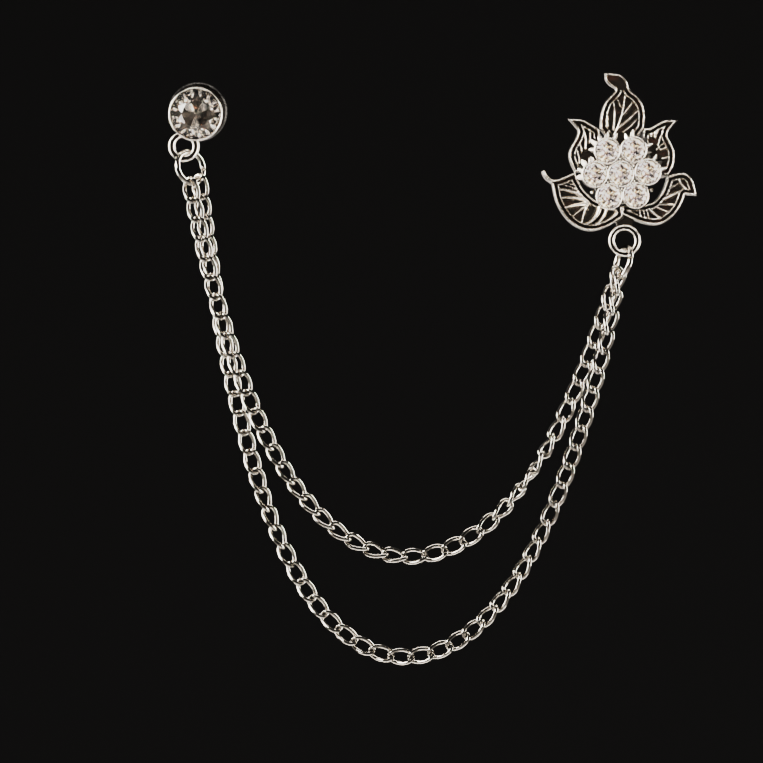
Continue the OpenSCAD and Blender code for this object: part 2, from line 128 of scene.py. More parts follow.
# Outlines of the five lobes: right, up, and 1 at a corner
TOP_LOBE = [
    (-3.9, 8.4, 1), (-3.74, 10.6, 0), (-3.4, 12.1, 0), (-2.78, 13.6, 0), (-1.75, 14.7, 0), (-1.05, 15.7, 0),
    (-2.1, 16.5, 0), (-2.85, 17.5, 0), (-2.95, 18.75, 1), (-1.4, 18.65, 0), (0.1, 18.35, 0),
    (1.2, 17.2, 0), (1.65, 15.7, 0), (3.1, 14.4, 0), (4.1, 12.9, 0), (4.5, 11.0, 0), (4.4, 8.6, 1),
    (0.3, 3, 1)]
LEFT_LOBE = [
    (-3.9, 8.3, 1), (-5.6, 9.35, 0), (-7.1, 10.1, 0), (-9.75, 10.3, 1), (-8.55, 8.9, 0), (-7.95, 8.0, 0),
    (-8.35, 6.7, 0), (-9.3, 5.0, 0), (-9.65, 3.5, 0), (-9.3, 2.0, 0), (-8.55, 0.4, 1), (-3, 0, 1)]
RIGHT_LOBE = [
    (3, 0, 1), (8.8, -0.2, 1), (9.7, 1.3, 0), (10.0, 2.85, 0), (9.9, 4.5, 0), (9.1, 6.2, 0), (8.7, 7.35, 0),
    (9.25, 8.45, 0), (10.55, 10.0, 1), (8.4, 10.05, 0), (7.0, 9.5, 0), (5.4, 8.6, 0), (4.2, 8.5, 1)]
LEFT_FAN = [
    (-8.3, 0.5, 1), (-10.4, -0.45, 0), (-12.3, -1.0, 0), (-13.4, -0.35, 0), (-14.1, 0.75, 0),
    (-14.65, 0.4, 0), (-14.0, -0.9, 0), (-12.75, -1.85, 1), (-12.55, -3.0, 0), (-12.1, -4.9, 0),
    (-11.0, -7.05, 0), (-9.75, -8.65, 0), (-8.0, -9.9, 0), (-6.1, -10.5, 0), (-4.0, -10.3, 0),
    (-1.8, -9.4, 0), (0.5, -7.9, 1), (0.1, -5.6, 1), (-3.4, -5.2, 1), (-4.9, -4.6, 0), (-6.7, -2.9, 0),
    (-8.1, -0.6, 1)]
RIGHT_FAN = [
    (8.5, -0.4, 1), (10.2, 0.15, 0), (11.7, 0.25, 0), (12.9, -0.4, 0), (13.65, -1.9, 0), (14.1, -3.95, 1),
    (13.2, -3.9, 0), (11.95, -3.8, 1), (11.5, -5.1, 0), (10.4, -7.05, 0), (8.7, -8.65, 0), (6.8, -9.4, 0),
    (4.2, -9.15, 0), (2.05, -8.3, 0), (0.1, -7.4, 1), (0.3, -5.6, 1), (4.6, -5.6, 1), (6.3, -4.9, 0),
    (7.7, -3.0, 0), (8.4, -1.2, 1)]

# Ribs in the lobes: start and end, right and up, then bow to the left of the way and width
TOP_RIBS = [
    (0.8, 14.8, -1.25, 7.2, 0.4, 0.6), (3.2, 11.9, -0.5, 8.6, 0.15, 0.5), (3.0, 10.2, 0.5, 7.8, 0.1, 0.4),
    (2.1, 13.3, 0.4, 11.1, 0.1, 0.4), (-1.3, 13.2, -1.4, 8.3, 0.2, 0.5), (-0.6, 13.9, -0.1, 12.6, 0, 0.3),
    (-2.5, 11.6, -2.4, 8.9, 0, 0.4)]
LEFT_RIBS = [
    (-7.4, 9.4, -6.5, 4.8, 0.35, 0.6), (-5.8, 9.1, -5.7, 5.9, 0.1, 0.5), (-8.4, 4.8, -7.6, 2.1, 0.2, 0.5),
    (-8.2, 6.4, -7.2, 4.2, 0.2, 0.4)]
RIGHT_RIBS = [
    (7.8, 9.4, 6.3, 6.9, -0.2, 0.6), (6.2, 8.8, 5.6, 7.0, -0.1, 0.4), (8.8, 5.4, 7.4, 4.6, 0.1, 0.5),
    (8.9, 3.4, 7.7, 2.9, 0.1, 0.5), (8.7, 1.5, 7.8, 0.9, 0.1, 0.5), (7.9, 8.0, 6.9, 5.4, -0.1, 0.4),
    (8.6, 6.6, 6.6, 4.6, 0.1, 0.4), (7.0, 9.0, 6.2, 7.2, 0, 0.4)]
LEFT_FAN_RIBS = [
    (-11, -1.9, -6, -4.1, 0.3, 0.26), (-10, -1.6, -5.7, -3.9, 0.3, 0.26), (-9, -1.1, -5.6, -3.6, 0.3, 0.26),
    (-11.5, -2.8, -6, -4.6, 0.4, 0.8), (-11, -4.4, -6, -5, 0.3, 0.7), (-10.3, -6.2, -6.1, -5.4, 0.1, 0.7),
    (-8.9, -7.9, -6.1, -5.7, 0.1, 0.5), (-7.2, -9.1, -6.4, -6.1, 0.1, 0.5),
    (-6.4, -9.3, -3.8, -5.0, -0.8, 1.0), (-4.9, -9.5, -2.5, -5.7, -0.6, 0.8),
    (-4.6, -9.6, -0.4, -6.9, -0.4, 0.9)]
RIGHT_FAN_RIBS = [
    (12.6, -3.2, 10.9, -1.2, 0.2, 0.6), (11.4, -3.0, 6.8, -5.2, -0.1, 0.9),
    (10.6, -1.8, 7.1, -4.4, -0.2, 0.4), (9.3, -1.5, 6.8, -4.1, -0.2, 0.35),
    (8.3, -1.9, 6.3, -4.9, -0.2, 0.3), (9.8, -5.6, 6.3, -5.6, 0, 0.6),
    (9.0, -7.0, 5.8, -5.6, 0.1, 0.5), (7.6, -8.3, 4.9, -5.8, 0.2, 0.8), (5.6, -9.0, 4.6, -5.6, 0.1, 0.3),
    (4.9, -9.0, 4.0, -5.6, 0.1, 0.3), (4.1, -9.0, 3.3, -5.6, 0.1, 0.3), (3.2, -8.9, 0.9, -6.4, 0.2, 0.8)]
LOBES = [
    (TOP_LOBE, TOP_RIBS), (LEFT_LOBE, LEFT_RIBS), (RIGHT_LOBE, RIGHT_RIBS),
    (LEFT_FAN, LEFT_FAN_RIBS), (RIGHT_FAN, RIGHT_FAN_RIBS)]
# Teeth stand round the upper cups: the cup's number, and the first and last direction in degrees
SKIRTS = [(0, -25, 125), (1, -20, 130), (2, 45, 190), (3, 60, 205)]


def camera():
    """The camera looks level along +Y, and leans a little as the photographer's did."""
    data = bpy.data.cameras.new("camera")
    data.lens = LENS
    data.sensor_width = SENSOR
    data.clip_start = 0.01
    data.clip_end = 10
    cam = bpy.data.objects.new("camera", data)
    distance = VIEW_WIDTH * LENS / SENSOR
    cam.matrix_world = (
        Matrix.Translation((VIEW_X, VIEW_Y - distance, VIEW_Z))
        @ Matrix.Rotation(math.radians(90), 4, "X")
        @ Matrix.Rotation(CAMERA_TILT, 4, "Z")
    )
    bpy.context.collection.objects.link(cam)
    bpy.context.scene.camera = cam


def mesh_object(name, verts, faces, smooth=True):
    mesh = bpy.data.meshes.new(name)
    mesh.from_pydata(verts, [], faces)
    mesh.polygons.foreach_set("use_smooth", [smooth] * len(faces))
    mesh.update()
    obj = bpy.data.objects.new(name, mesh)
    bpy.context.collection.objects.link(obj)
    return obj


def lathe(profile, sides):
    """Points and faces of a profile of (radius, height) pairs turned round the local z axis."""
    verts = [
        (r * math.cos(2 * math.pi * k / sides), r * math.sin(2 * math.pi * k / sides), z)
        for r, z in profile
        for k in range(sides)
    ]
    faces = [
        (i * sides + k, i * sides + (k + 1) % sides, (i + 1) * sides + (k + 1) % sides, (i + 1) * sides + k)
        for i in range(len(profile) - 1)
        for k in range(sides)
    ]
    return verts, faces


# Materials


class Nodes:
    """Short ways to build one material's nodes."""

    def __init__(self, name):
        self.material = bpy.data.materials.new(name)
        self.material.use_nodes = True
        self.tree = self.material.node_tree
        self.shader = self.tree.nodes["Principled BSDF"]
        self.place = self.add("ShaderNodeTexCoord").outputs["Object"]
        self.surface = self.add("ShaderNodeNewGeometry").outputs["Normal"]

    def add(self, kind, **values):
        node = self.tree.nodes.new(kind)
        for key, value in values.items():
            setattr(node, key, value)
        return node

    def link(self, a, b):
        self.tree.links.new(a, b)

    def noise(self, scale, detail=3.0):
        node = self.add("ShaderNodeTexNoise")
        node.inputs["Scale"].default_value = scale
        node.inputs["Detail"].default_value = detail
        node.inputs["Roughness"].default_value = 0.55
        self.link(self.place, node.inputs["Vector"])
        return node.outputs["Fac"]

    def ramp(self, value, *stops):
        """Colour ramp with stops of (position, colour)."""
        node = self.add("ShaderNodeValToRGB")
        points = node.color_ramp.elements
        while len(points) < len(stops):
            points.new(0.5)
        for point, (position, colour) in zip(points, stops):
            point.position = position
            point.color = (*colour, 1)
        self.link(value, node.inputs["Fac"])
        return node.outputs["Color"]

    def range(self, value, low, high, to_low, to_high):
        """The value's way from low to high, spread from to_low to to_high and held there."""
        node = self.add("ShaderNodeMapRange")
        for key, number in (("From Min", low), ("From Max", high), ("To Min", to_low), ("To Max", to_high)):
            node.inputs[key].default_value = number
        self.link(value, node.inputs["Value"])
        return node.outputs["Result"]

    def mix(self, factor, a, b):
        """Blend from a to b; either is a colour or another node's output."""
        node = self.add("ShaderNodeMix", data_type="RGBA")
        self.link(factor, node.inputs["Factor"])
        for socket, value in ((node.inputs[6], a), (node.inputs[7], b)):
            if isinstance(value, tuple):
                socket.default_value = (*value, 1)
            else:
                self.link(value, socket)
        return node.outputs[2]

    def math(self, operation, a, b):
        node = self.add("ShaderNodeMath", operation=operation)
        self.link(a, node.inputs[0])
        self.link(b, node.inputs[1])
        return node.outputs["Value"]

    def part_of(self, vector, axis):
        """The vector's X, Y or Z."""
        node = self.add("ShaderNodeSeparateXYZ")
        self.link(vector, node.inputs["Vector"])
        return node.outputs[axis]

    def bump(self, height, strength, distance):
        node = self.add("ShaderNodeBump")
        node.inputs["Strength"].default_value = strength
        node.inputs["Distance"].default_value = distance
        self.link(height, node.inputs["Height"])
        self.link(node.outputs["Normal"], self.shader.inputs["Normal"])

    def hollow(self, reach):
        """0 deep in corners and grooves, 1 in the open."""
        node = self.add("ShaderNodeAmbientOcclusion", samples=8, only_local=True)
        node.inputs["Distance"].default_value = reach
        return node.outputs["AO"]


def plated_silver(name, tone, rough, hollow_reach, low, high, ground=None):
    """Bright plating with painted shade: dark and dull in hollows and on front faces that lie low.

    The painted shade, mixed with dark and rusty tarnish, fades between the low and the high openness, and
    between the two heights in ground.
    """
    n = Nodes(name)
    n.shader.inputs["Metallic"].default_value = 1.0
    cloudy, clean = (tuple(share * tone * c for c in SILVER) for share in (0.93, 1))
    bright = n.ramp(n.noise(350), (0.3, cloudy), (0.7, clean))
    shade_and_tarnish = n.ramp(n.noise(420), (0.54, SHADE_AND_TARNISH), (0.7, RUSTY))
    # Painted shade: ambient occlusion darkens hollows, grooves and overlapping links
    unshaded_part = n.range(n.hollow(hollow_reach), low, high, 0, 1)
    # Painted shade also on front faces that lie below the ground heights
    if ground:
        raised = n.range(n.part_of(n.place, "Y"), -ground[1], -ground[0], 1, 0)
        turned_away = n.range(n.part_of(n.surface, "Y"), -0.85, -0.4, 0, 1)
        unshaded_part = n.math("MULTIPLY", unshaded_part, n.math("MAXIMUM", raised, turned_away))
    n.link(n.mix(unshaded_part, shade_and_tarnish, bright), n.shader.inputs["Base Color"])
    polish = n.range(n.noise(1800), 0.3, 0.7, rough * 0.8, rough * 1.3)
    n.link(n.math("MAXIMUM", polish, n.range(unshaded_part, 0, 1, 0.4, 0)), n.shader.inputs["Roughness"])
    n.bump(n.noise(2600, 2), 0.1, 0.02 * MM)
    return n.material


def clutch_metal():
    """Satin nickel plating with a painted shadow: dark on its front face, and less so on that face's edge.
    """
    n = Nodes("clutch_metal")
    n.shader.inputs["Metallic"].default_value = 1.0
    bright = n.ramp(n.noise(500), (0.3, (0.72, 0.70, 0.66)), (0.7, (0.8, 0.78, 0.74)))
    # Painted shadow: dark on the front face, bright from 1.3 to 1.7 mm further back, a little lighter on the
    # bevel
    behind = n.range(n.part_of(n.place, "Y"), 1.3 * MM, 1.7 * MM, 0, 1)
    edge = n.range(n.part_of(n.surface, "Y"), -0.95, -0.75, 0, 0.25)
    unshaded_part = n.math("MAXIMUM", behind, edge)
    # This dark colour is the painted shadow
    n.link(n.mix(unshaded_part, (0.03, 0.028, 0.027), bright), n.shader.inputs["Base Color"])
    n.link(n.range(n.noise(1500), 0.3, 0.7, 0.2, 0.32), n.shader.inputs["Roughness"])
    n.bump(n.noise(3000, 2), 0.15, 0.02 * MM)
    return n.material


def clear_stone():
    """Clear, strongly bending glass with flawless facets."""
    n = Nodes("clear_stone")
    n.shader.inputs["Base Color"].default_value = (1, 1, 1, 1)
    n.shader.inputs["Roughness"].default_value = 0.0
    n.shader.inputs["IOR"].default_value = 1.75
    n.shader.inputs["Transmission Weight"].default_value = 1.0
    n.bump(n.noise(900, 1), 0.02, 0.01 * MM)
    return n.material


def foil(name, rough, *stops):
    """The mirror coat on the back of a stone, tinted in patches."""
    n = Nodes(name)
    n.shader.inputs["Metallic"].default_value = 1.0
    n.shader.inputs["Roughness"].default_value = rough
    n.link(n.ramp(n.noise(600), *stops), n.shader.inputs["Base Color"])
    return n.material


# Pieces


def dress(obj, *materials):
    obj.data.materials.clear()
    for material in materials:
        obj.data.materials.append(material)


def stands_for(obj, node):
    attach(obj, BODY)
    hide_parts(node)


def brilliant(radius, crown, pavilion, kite_share):
    """Points and faces of a round brilliant, its table towards -y; the last faces are the pavilion's."""
    girdle, table_r, star_r, lower_r = 0.05 * radius, 0.56 * radius, 0.77 * radius, kite_share * radius
    cos_step = math.cos(math.pi / 8)
    star_z = crown - (star_r * cos_step - table_r) * (crown - girdle) / (radius - table_r)
    lower_z = -pavilion + lower_r * cos_step * (pavilion - girdle) / radius

    def ring(count, r, z, turn=0.0):
        angles = [2 * math.pi * k / count + turn for k in range(count)]
        return [(r * math.cos(a), -z, r * math.sin(a)) for a in angles]

    half = math.pi / 8
    verts = ring(8, table_r, crown) + ring(8, star_r, star_z, half)
    verts += ring(16, radius, girdle) + ring(16, radius, -girdle)
    verts += ring(8, lower_r, lower_z, half) + [(0, pavilion, 0)]
    table, star, top, bottom, lower, culet = 0, 8, 16, 32, 48, 56
    crown_faces = [tuple(range(table, table + 8))]
    for k in range(8):
        nxt, prev = (k + 1) % 8, (k - 1) % 8
        crown_faces += [
            (table + k, star + k, table + nxt),
            (table + k, star + prev, top + 2 * k, star + k),
            (star + k, top + 2 * k, top + 2 * k + 1),
            (star + k, top + 2 * k + 1, top + 2 * nxt),
        ]
    crown_faces += [(top + k, bottom + k, bottom + (k + 1) % 16, top + (k + 1) % 16) for k in range(16)]
    pavilion_faces = []
    for k in range(8):
        nxt, prev = (k + 1) % 8, (k - 1) % 8
        pavilion_faces += [
            (culet, lower + k, bottom + 2 * k, lower + prev),
            (lower + k, bottom + 2 * k + 1, bottom + 2 * k),
            (lower + k, bottom + 2 * nxt, bottom + 2 * k + 1),
        ]
    return verts, crown_faces, pavilion_faces


def stone(node, materials, widening, kite_share, depth_share, bright_kites=()):
    """A foil-backed brilliant in place of the plain stone; its materials are glass, kites and slivers.

    The kites' foil is a darker copy of the slivers' foil: painted dark reflections.
    """
    lo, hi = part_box(node)
    girdle_share = math.cos(math.pi / 16)
    radius = widening * (hi.x - lo.x) / 2 / girdle_share
    depth = hi.y - lo.y
    crown = depth * CROWN_SHARE
    verts, crown_faces, pavilion_faces = brilliant(radius, crown, depth_share * radius, kite_share)
    obj = mesh_object(node + "_cut", verts, crown_faces + pavilion_faces, smooth=False)
    recalculate_normals(obj.data)
    dress(obj, *materials)
    for k in range(len(pavilion_faces)):
        # Kites take the darker foil: painted dark reflections
        dark = k % 3 == 0 and k // 3 not in bright_kites
        obj.data.polygons[len(crown_faces) + k].material_index = 1 if dark else 2
    obj.location = ((lo.x + hi.x) / 2, lo.y + crown, (lo.z + hi.z) / 2)
    stands_for(obj, node)
    return obj


def recalculate_normals(mesh):
    bm = bmesh.new()
    bm.from_mesh(mesh)
    bmesh.ops.recalc_face_normals(bm, faces=bm.faces)
    bm.to_mesh(mesh)
    bm.free()


def copy_of(node, name):
    """A welded copy of a CAD node's mesh, without its flat facets' normals."""
    bm = bmesh.new()
    bm.from_mesh(NODES[node].data)
    bmesh.ops.remove_doubles(bm, verts=bm.verts, dist=0.002 * MM)
    mesh = bpy.data.meshes.new(name)
    bm.to_mesh(mesh)
    bm.free()
    for layer in ("custom_normal", "sharp_edge", "sharp_face"):
        if layer in mesh.attributes:
            mesh.attributes.remove(mesh.attributes[layer])
    obj = bpy.data.objects.new(name, mesh)
    bpy.context.collection.objects.link(obj)
    return obj


def applied(obj):
    """Puts what the modifiers make into the mesh."""
    mesh = bpy.data.meshes.new_from_object(obj.evaluated_get(bpy.context.evaluated_depsgraph_get()))
    obj.modifiers.clear()
    obj.data = mesh
    mesh.polygons.foreach_set("use_smooth", [True] * len(mesh.polygons))
    mesh.update()
    return obj


def swell(mesh, amount):
    """Moves the surface outwards."""
    for vert, normal in zip(mesh.vertices, [n.vector.copy() for n in mesh.vertex_normals]):
        vert.co += amount * normal
    mesh.update()


def chain(node, material):
    """The node's links with round, smooth wire that still passes through the CAD links' own points."""
    obj = copy_of(node, node + "_links")
    bm = bmesh.new()
    bm.from_mesh(obj.data)
    bmesh.ops.join_triangles(
        bm, faces=bm.faces, angle_face_threshold=math.radians(40), angle_shape_threshold=math.radians(60)
    )
    bm.to_mesh(obj.data)
    bm.free()
    obj.modifiers.new("round", "SUBSURF").levels = 2
    points = [v.co.copy() for v in obj.data.vertices]
    for _ in range(3):
        smooth = obj.evaluated_get(bpy.context.evaluated_depsgraph_get()).data
        for k, point in enumerate(points):
            obj.data.vertices[k].co += point - smooth.vertices[k].co
        obj.data.update()
        bpy.context.view_layer.update()
    applied(obj)
    swell(obj.data, WIRE_SWELL)
    dress(obj, material)
    stands_for(obj, node)


class Shells:
    """Collects the closed shells of one casting, drawn in the leaf's own millimetres."""

    def __init__(self):
        self.verts, self.faces = [], []

    def add(self, verts, faces):
        start = len(self.verts)
        self.verts += [tuple(v) for v in verts]
        self.faces += [tuple(start + k for k in face) for face in faces]

    def turned(self, centre, profile, sides):
        """A (radius, height) profile turned round an axis that points forward from centre."""
        verts, faces = lathe(profile, sides)
        self.add([(centre[0] + x, centre[1] + y, z) for x, y, z in verts], faces)

    def placed(self, middle=(0, 0), turn=0.0):
        """The points in the part's own frame, in metres."""
        c, s = math.cos(turn), math.sin(turn)
        return [
            (MM * (middle[0] + u * c - v * s), -MM * h, MM * (middle[1] + u * s + v * c))
            for u, v, h in self.verts
        ]


def lobe_outline(points, steps=6):
    """Smooth closed curve through the points, broken at its corners."""
    count = len(points)
    place = [np.array(p[:2]) for p in points]
    outline = []
    for i in range(count):
        b, c = place[i], place[(i + 1) % count]
        a = 2 * b - c if points[i][2] else place[i - 1]
        d = 2 * c - b if points[(i + 1) % count][2] else place[(i + 2) % count]
        square, cube = 2 * a - 5 * b + 4 * c - d, 3 * b - a - 3 * c + d
        for t in np.arange(steps) / steps:
            outline.append(0.5 * (2 * b + (c - a) * t + square * t**2 + cube * t**3))
    return np.array(outline)


def depth_inside(outline, at):
    """Distance of each point from the outline, negative outside it."""
    nearest = np.full(len(at), 1e9)
    inside = np.zeros(len(at), bool)
    for a, b in zip(outline, np.roll(outline, -1, axis=0)):
        ab = b - a
        t = np.clip(((at - a) @ ab) / (ab @ ab), 0, 1)
        nearest = np.minimum(nearest, ((at - a - t[:, None] * ab) ** 2).sum(1))
        if a[1] != b[1]:
            crosses = (at[:, 1] < a[1]) != (at[:, 1] < b[1])
            inside ^= crosses & (at[:, 0] < a[0] + (at[:, 1] - a[1]) * ab[0] / ab[1])
    return np.where(inside, 1, -1) * np.sqrt(nearest)


def cup_places():
    """Middles of the six outer cups."""
    angles = [math.radians(CLUSTER_TURN + 60 * n) for n in range(6)]
    return [
        (CLUSTER_MID[0] + CLUSTER_R * math.cos(a), CLUSTER_MID[1] + CLUSTER_R * math.sin(a)) for a in angles
    ]


def round_crest(d, middle, width):
    """0 beside a ridge and 1 on its crest, as a round wire rises."""
    x = (d - middle) / (width / 2)
    return np.sqrt(np.clip(1 - x * x, 0, 1))


def rib_crest(row, at, steps=6):
    """The same for a curved rib that is widest at its end, with a roof-like ridge."""
    start, end, bow, width = np.array(row[0:2]), np.array(row[2:4]), row[4], row[5]
    way = (end - start) / np.linalg.norm(end - start)
    left = np.array((-way[1], way[0]))
    t = np.arange(steps + 1) / steps
    middle = start + t[:, None] * (end - start) + (4 * bow * t * (1 - t))[:, None] * left
    crest = np.zeros(len(at))
    for k in range(steps):
        ab = middle[k + 1] - middle[k]
        along = np.clip(((at - middle[k]) @ ab) / (ab @ ab), 0, 1)
        away = np.linalg.norm(at - middle[k] - along[:, None] * ab, axis=1)
        half = 0.7 * width * (0.5 + 0.5 * (k + along) / steps) + 0.12
        crest = np.maximum(crest, 1 - np.clip(away / half, 0, 1) ** 2)
    return crest


def leaf_depth(at):
    """Distance inside the whole plate's outline."""
    depths = [depth_inside(lobe_outline(points), at) for points, _ in LOBES]
    discs = [((LEAF_RING[0], LEAF_RING[1] + NECK_UP), NECK_R), ((0, 0), CLUSTER_R)]
    discs += [(place, CUP_D / 2) for place in cup_places()]
    depths += [radius - np.linalg.norm(at - np.array(centre), axis=1) for centre, radius in discs]
    return np.max(depths, axis=0)


def leaf_height(at):
    """Height of the cast relief: rims, grooves, raised lines and ribs on a finely uneven field."""
    from_middle = np.linalg.norm(at, axis=1)
    height = np.full(len(at), PLATE_H)
    u, v = at[:, 0], at[:, 1]
    uneven = (v < HOOK_FROM) * np.sin(5.1 * u + 2 * np.sin(3.7 * v)) * np.sin(6.3 * v + np.sin(4.9 * u))
    line_at = RIM_W + GROOVE_W + LINE_W / 2
    for points, ribs in LOBES:
        d = depth_inside(lobe_outline(points), at)
        relief = np.full(len(at), FIELD_H) + UNEVEN_H * uneven
        for row in ribs:
            relief = np.maximum(relief, FIELD_H + (RIB_H - FIELD_H) * rib_crest(row, at))
        relief = np.where(d > RIM_W + GROOVE_W, relief, FIELD_H)
        line = np.where(v < HOOK_FROM, round_crest(d, line_at, LINE_W), 0)
        relief = np.maximum(relief, FIELD_H + (LINE_H - FIELD_H) * line)
        rim = EDGE_H + (RIM_H - EDGE_H) * round_crest(d, RIM_W / 2, RIM_W)
        relief = np.where((d < RIM_W) & (from_middle > CLUSTER_R + 1), rim, relief)
        height = np.where(d > -GRID, np.where(height == PLATE_H, relief, np.maximum(height, relief)), height)
    height = np.where(height == PLATE_H, FIELD_H, height)
    return np.where(from_middle < CLUSTER_R, PLATE_H, height)


def leaf_sheet():
    """Points and faces of the leaf's relief with its edge and its flat back."""
    u, v = np.meshgrid(np.arange(*GRID_RIGHT, GRID), np.arange(*GRID_UP, GRID), indexing="ij")
    at = np.stack([u.ravel(), v.ravel()], axis=1)
    depth = leaf_depth(at)
    near = np.flatnonzero(np.abs(depth) < 0.55 * GRID)
    step = 0.01
    for _ in range(2):
        here = at[near]
        slope = np.stack(
            [(leaf_depth(here + e) - leaf_depth(here - e)) / (2 * step) for e in np.eye(2) * step], axis=1
        )
        at[near] = here - leaf_depth(here)[:, None] * slope
    kept = depth > 0
    kept[near] = True
    index = np.arange(len(at)).reshape(u.shape)
    corners = np.stack([index[:-1, :-1], index[1:, :-1], index[1:, 1:], index[:-1, 1:]], axis=-1)
    corners = corners.reshape(-1, 4)
    corners = corners[kept[corners].sum(1) >= 3]
    faces = [tuple(k for k in quad if kept[k]) for quad in corners.tolist()]
    heights = leaf_height(at)
    bm = bmesh.new()
    used = sorted({k for face in faces for k in face})
    made = {k: bm.verts.new((at[k, 0], at[k, 1], heights[k])) for k in used}
    for face in faces:
        bm.faces.new([made[k] for k in face])
    edge = [e for e in bm.edges if len(e.link_faces) == 1]
    for height in (BACK_EDGE_H, 0.0):
        grown = bmesh.ops.extrude_edge_only(bm, edges=edge)["geom"]
        for vert in (g for g in grown if isinstance(g, bmesh.types.BMVert)):
            vert.co.z = height
        edge = [g for g in grown if isinstance(g, bmesh.types.BMEdge) and len(g.link_faces) == 1]
    bmesh.ops.triangle_fill(bm, edges=edge, use_beauty=True)
    bmesh.ops.recalc_face_normals(bm, faces=bm.faces)
    bm.verts.index_update()
    verts = [tuple(v.co) for v in bm.verts]
    result = verts, [tuple(v.index for v in f.verts) for f in bm.faces]
    bm.free()
    return result


def arc(middle, radius, start, stop, count):
    """Points of an arc in a (radius, height) profile."""
    return [
        (middle[0] + radius * math.cos(a), middle[1] + radius * math.sin(a))
        for a in np.linspace(start, stop, count)
    ]


def add_cup(shells, centre, cup, stone_r, gap, sides=48):
    """Flared wall with a round lip over the stone's girdle, and a cone under the stone."""
    outer, top, foot, seat, cone = cup
    inner = stone_r + gap
    lip_r = (outer - inner) / 2
    lip = arc((outer - lip_r, top - lip_r), lip_r, 0, math.pi, 9)
    wall = [(0.01, foot), (outer - 0.9, foot), (outer - 0.3, (foot + seat) / 2), (outer, seat - 0.2)]
    inside = [(inner + 0.02, seat - 0.15), (0.2, seat - cone), (0.01, seat - cone)]
    shells.turned(centre, wall + lip + inside, sides)


def add_teeth(shells, centre, start, stop):
    """Flame-like teeth with shoulders and a ridge that falls to the point."""
    teeth = round((stop - start) / TOOTH_STEP)
    step = (stop - start) / teeth
    root, base_h, side_h, ridge_h, point_h = CUP_D / 2 - 0.15, 0.9, 2.45, 2.65, 2.35
    for k in range(teeth):
        a0, left, a1, right, a2 = (math.radians(start + (k + part) * step) for part in (0, 0.2, 0.5, 0.8, 1))
        # Uneven lengths that are the same each run; the start only gives each cup its own
        reach = TOOTH_REACH + 0.2 * math.sin(2.3 * k + start)
        shoulder = root + 0.55 * (reach - root)

        def at(angle, r, height):
            return (centre[0] + r * math.cos(angle), centre[1] + r * math.sin(angle), height)

        shells.add(
            [at(a0, root, base_h), at(a2, root, base_h), at(a0, root, side_h), at(a2, root, side_h)]
            + [at(a1, root, ridge_h), at(a1, reach, point_h), at(a1, reach - 0.1, base_h)]
            + [at(left, shoulder, point_h), at(left, shoulder, base_h)]
            + [at(right, shoulder, point_h), at(right, shoulder, base_h)],
            [(4, 2, 7), (4, 7, 5), (4, 5, 9), (4, 9, 3), (2, 0, 8, 7), (7, 8, 6, 5), (5, 6, 10, 9)]
            + [(9, 10, 1, 3), (0, 1, 10, 6, 8), (0, 2, 4, 3, 1)],
        )


def add_bead(shells, centre, radius, height):
    """Small ball with its middle at the height."""
    profile = [
        (max(0.005, radius * math.sin(a)), height - radius * math.cos(a)) for a in np.linspace(0, math.pi, 9)
    ]
    shells.turned(centre, profile, 14)


def add_ring(shells, centre, height, inner_d, outer_d):
    """Flat cast ring: two round ridges with a flat groove between them."""
    half = RING_WIRE / 2
    inner_r, outer_r = inner_d / 2 + half, outer_d / 2 - half
    inner = arc((inner_r, height), half, 4.9, 1.0, 14)
    outer = arc((outer_r, height), half, 2.14, -1.74, 14)
    groove = [(inner_r + 0.7 * half, height - 0.2), (outer_r - 0.7 * half, height - 0.2)]
    profile = inner + groove + outer
    shells.turned(centre, profile + profile[:1], 72)


def add_pin(shells, centre=(0, 0)):
    """Plain back pin with a foot and a point."""
    r = PIN_D / 2
    foot = [(0.01, 0.3), (r + 0.5, 0.3), (r + 0.5, -0.02), (r + 0.2, -0.12), (r, -0.3)]
    point = [(r, PIN_POINT_L - PIN_L), (0.1, -PIN_L), (0.01, -PIN_L)]
    shells.turned(centre, foot + point, 32)


def leaf(material):
    """The leaf's casting: relief plate, seven cups, teeth, beads, ring and pin."""
    shells = Shells()
    shells.add(*leaf_sheet())
    cups = cup_places()
    cup = (CUP_D / 2, CUP_H, CUP_FOOT, SEAT_H, LEAF_PAVILION * LEAF_STONE_SWELL * STONE_D / 2 + CONE_PLAY)
    for centre in cups + [(0, 0)]:
        add_cup(shells, centre, cup, STONE_D / 2 * LEAF_STONE_SWELL, LEAF_STONE_PLAY)
    for n, start, stop in SKIRTS:
        add_teeth(shells, cups[n], start, stop)
    for n in range(6):
        a = math.radians(CLUSTER_TURN + 30 + 60 * n)
        below = n in (3, 4, 5)
        for reach, radius, height in (INNER_BEAD, OUTER_BEAD) if below else (INNER_BEAD,):
            add_bead(shells, (reach * math.cos(a), reach * math.sin(a)), radius, height)
    add_ring(shells, LEAF_RING, LEAF_RING_H, LEAF_RING_IN, LEAF_RING_OUT)
    add_pin(shells)
    return casting("leaf_casting", shells.placed(turn=LEAF_TURN), shells.faces, "leaf", material)


def stud(material):
    """The stud's bezel with its soldered ring and pin."""
    shells = Shells()
    cone = STUD_PAVILION * STUD_STONE_SWELL * STUD_STONE_D / 2 + CONE_PLAY
    cup = (STUD_D / 2, STUD_H, 0.0, STUD_SEAT_H, cone)
    add_cup(shells, (0, 0), cup, STUD_STONE_D / 2 * STUD_STONE_SWELL, STUD_STONE_PLAY, 96)
    add_ring(shells, STUD_RING, STUD_RING_H, STUD_RING_IN, STUD_RING_OUT)
    add_pin(shells, STUD_PIN)
    return casting("stud_bezel", shells.placed(STUD_AT), shells.faces, "stud", material)


